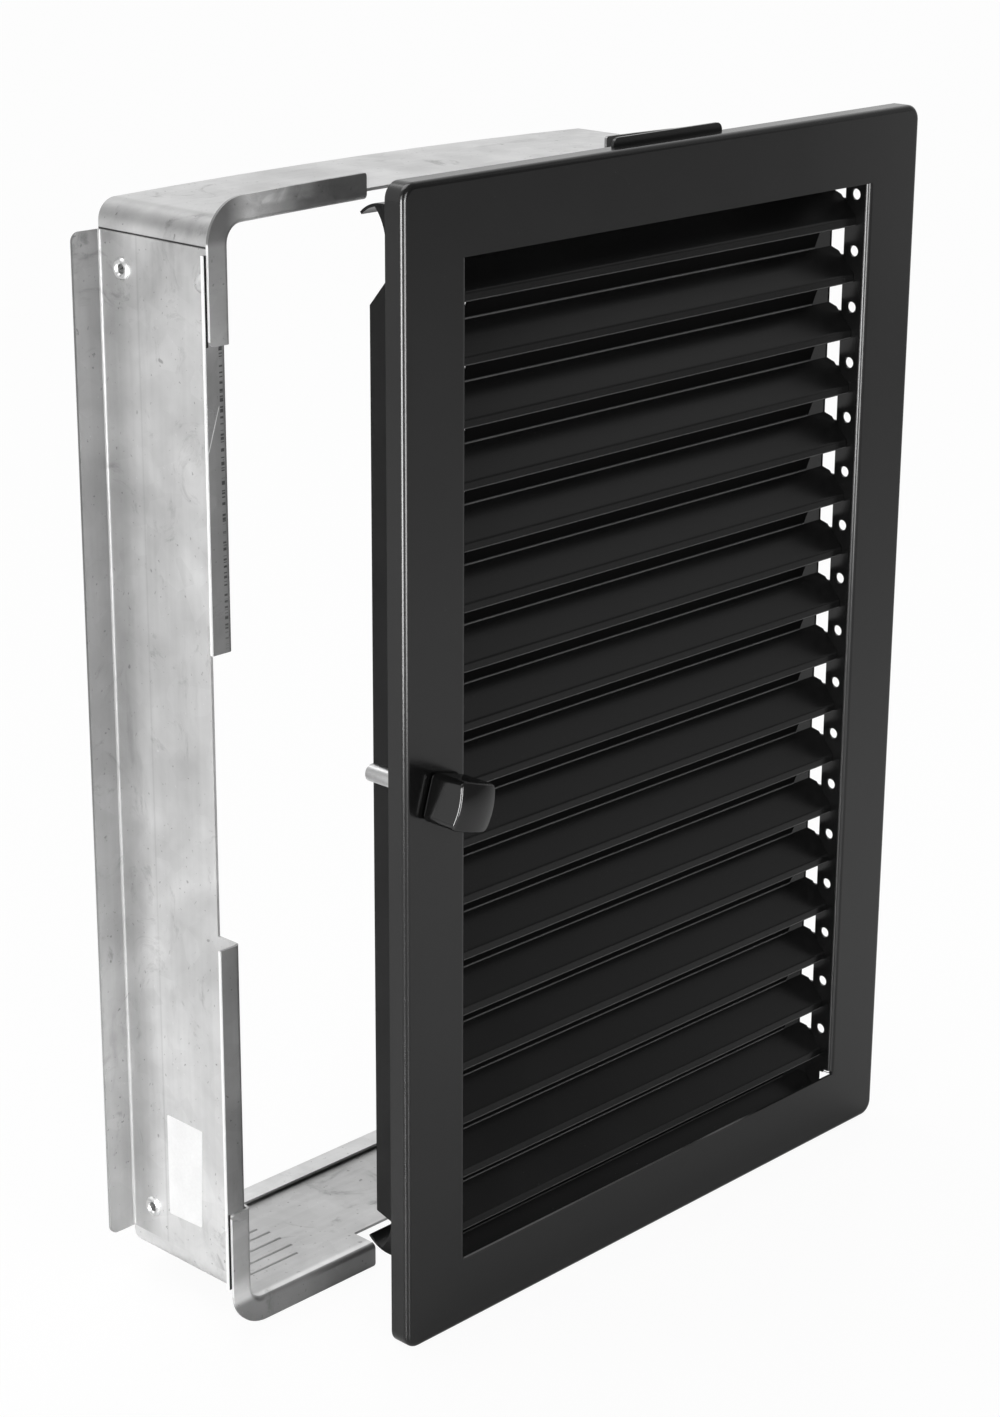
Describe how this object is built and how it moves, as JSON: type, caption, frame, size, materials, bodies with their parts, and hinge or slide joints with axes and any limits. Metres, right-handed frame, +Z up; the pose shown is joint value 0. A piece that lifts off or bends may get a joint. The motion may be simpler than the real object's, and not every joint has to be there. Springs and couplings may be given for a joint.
{
  "type": "hot air grille",
  "caption": "Black louvred wall grille with a square turn knob, taken out of its galvanised sheet wall frame; lets warm duct or fireplace air into a room.",
  "frame": {"origin": "middle of the footprint of grille and wall frame as pictured, on the floor they stand on", "axes": "+X to the right seen from the room, +Y into the wall, +Z up"},
  "size_m": [0.2928, 0.1292, 0.3958],
  "materials": {
    "galvanised": "galvanised sheet, stained and scratched",
    "rivet": "plated steel",
    "black": "satin black stoved paint",
    "knob": "satin black",
    "steel": "plated steel"
  },
  "bodies": {
    "wall_frame": {"head": "galvanised", "sill": "galvanised", "left_jamb": "galvanised", "right_jamb": "galvanised", "wall_rivets": "rivet", "lip_rivets": "rivet"},
    "grille": {"face_frame": "black", "top_collar": "black", "bottom_collar": "black", "slat_01": "black", "slat_02": "black", "slat_03": "black", "slat_04": "black", "slat_05": "black", "slat_06": "black", "slat_07": "black", "slat_08": "black", "slat_09": "black", "slat_10": "black", "slat_11": "black", "slat_12": "black", "slat_13": "black", "slat_14": "black", "slat_15": "black", "slat_16": "black", "slat_17": "black", "slat_18": "black"},
    "latch": {"knob": "knob", "spindle": "steel", "latch_cam": "steel"}
  },
  "joints": [
    {"name": "grille_lift_off", "type": "slide", "parent": "wall_frame", "child": "grille", "axis": [0, -1, 0], "range_m": [0, 0.15]},
    {"name": "latch_turn", "type": "hinge", "parent": "grille", "child": "latch", "pos_m": [-0.09325, -0.0476, 0.1957], "axis": [0, 1, 0], "range_deg": [-73, 73]}
  ]
}
